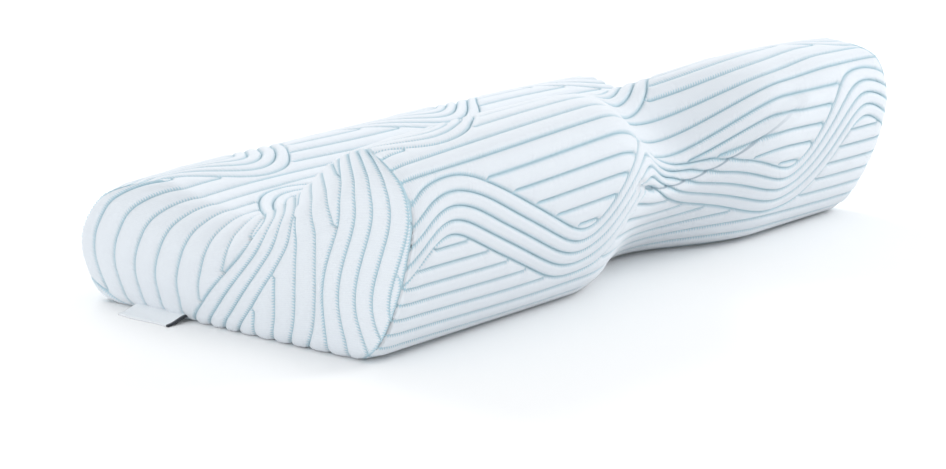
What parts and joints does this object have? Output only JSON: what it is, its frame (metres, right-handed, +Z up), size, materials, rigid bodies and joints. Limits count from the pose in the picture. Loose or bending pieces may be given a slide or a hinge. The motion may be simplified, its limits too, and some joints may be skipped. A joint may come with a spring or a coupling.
{
  "type": "cervical pillow",
  "caption": "Quilted contour pillow with a high front ridge, a head hollow, a lower back roll and a shoulder recess in its front, with a bare side label.",
  "frame": {"origin": "middle of the flat underside, on the surface that the pillow rests on", "axes": "+X along the length of the pillow, -Y toward the front ridge with the shoulder recess, +Z up"},
  "size_m": [0.5105, 0.311, 0.131],
  "materials": {
    "quilted_cover": "matt knitted cover, pale blue white, quilted with light blue thread",
    "satin_label": "smooth white satin ribbon"
  },
  "bodies": {
    "root": {"pillow": "quilted_cover", "label": "satin_label"}
  },
  "joints": []
}
